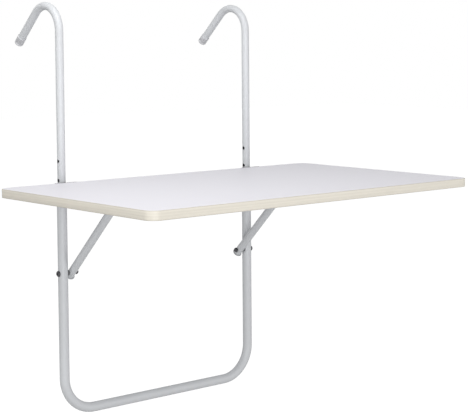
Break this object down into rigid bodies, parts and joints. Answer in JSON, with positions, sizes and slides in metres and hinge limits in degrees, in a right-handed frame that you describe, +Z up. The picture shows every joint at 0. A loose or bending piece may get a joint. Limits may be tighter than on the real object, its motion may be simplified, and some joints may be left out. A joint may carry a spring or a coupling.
{
  "type": "railing table",
  "caption": "Folding table that hangs from a railing by tube hooks, with a U-shaped tube frame and a swinging stay under its board.",
  "frame": {"origin": "on the top of the railing midway between the hooks, at the crown of the hooks' inner surface", "axes": "+X along the railing, -Y towards the user's side where the board is, +Z up"},
  "size_m": [0.63, 0.5294, 0.6625],
  "materials": {
    "tube_coat": "satin light grey powder coat",
    "grey_cap": "light grey moulded plastic",
    "dark_plastic": "dark moulded plastic",
    "dark_bolt": "satin black coated steel",
    "zinc_steel": "zinc plated",
    "dark_bracket": "satin dark coat",
    "chipboard": "raw board core",
    "white_laminate": "smooth white laminate",
    "beige_band": "beige edge band with a fine lengthwise grain"
  },
  "bodies": {
    "hooks": {"hook_tube_left": "tube_coat", "hook_tube_right": "tube_coat", "hook_cap_left": "grey_cap", "hook_cap_right": "grey_cap"},
    "frame": {"frame_tube": "tube_coat", "tube_bush_left": "dark_plastic", "tube_bush_right": "dark_plastic", "hinge_lug_left": "tube_coat", "hinge_lug_right": "tube_coat", "lock_boss_left": "tube_coat", "lock_boss_right": "tube_coat", "stay_bolts": "dark_bolt", "stay_nuts": "dark_bolt", "stay_spacer_left": "dark_plastic", "stay_spacer_right": "dark_plastic"},
    "tabletop": {"core_board": "chipboard", "top_laminate": "white_laminate", "bottom_laminate": "white_laminate", "edge_band": "beige_band", "hinge_bracket_left": "dark_bracket", "hinge_bracket_right": "dark_bracket", "hinge_bolts": "zinc_steel", "hinge_nuts": "zinc_steel", "hinge_washers": "zinc_steel", "bracket_screws": "zinc_steel", "stay_catch_left": "dark_plastic", "stay_catch_right": "dark_plastic", "catch_screws": "zinc_steel"},
    "stay": {"stay_tube": "tube_coat", "stay_plug_left": "grey_cap", "stay_plug_right": "grey_cap"},
    "lock_left": {"lock_screw_left": "zinc_steel", "lock_knob_left": "dark_plastic"},
    "lock_right": {"lock_screw_right": "zinc_steel", "lock_knob_right": "dark_plastic"}
  },
  "joints": [
    {"name": "height_adjust", "type": "slide", "parent": "hooks", "child": "frame", "axis": [0, 0, 1], "range_m": [0, 0.061]},
    {"name": "table_fold", "type": "hinge", "parent": "frame", "child": "tabletop", "pos_m": [0, -0.0595, -0.2965], "axis": [1, 0, 0], "range_deg": [0, 90]},
    {"name": "stay_swing", "type": "hinge", "parent": "frame", "child": "stay", "pos_m": [0, -0.0405, -0.417], "axis": [1, 0, 0], "range_deg": [0, 134]},
    {"name": "lock_left_slide", "type": "slide", "parent": "frame", "child": "lock_left", "axis": [-1, 0, 0], "range_m": [0, 0.005]},
    {"name": "lock_right_slide", "type": "slide", "parent": "frame", "child": "lock_right", "axis": [1, 0, 0], "range_m": [0, 0.005]}
  ],
  "couplings": [
    {"joint": "stay_swing", "follows": "table_fold", "ratio": 1.4888}
  ]
}
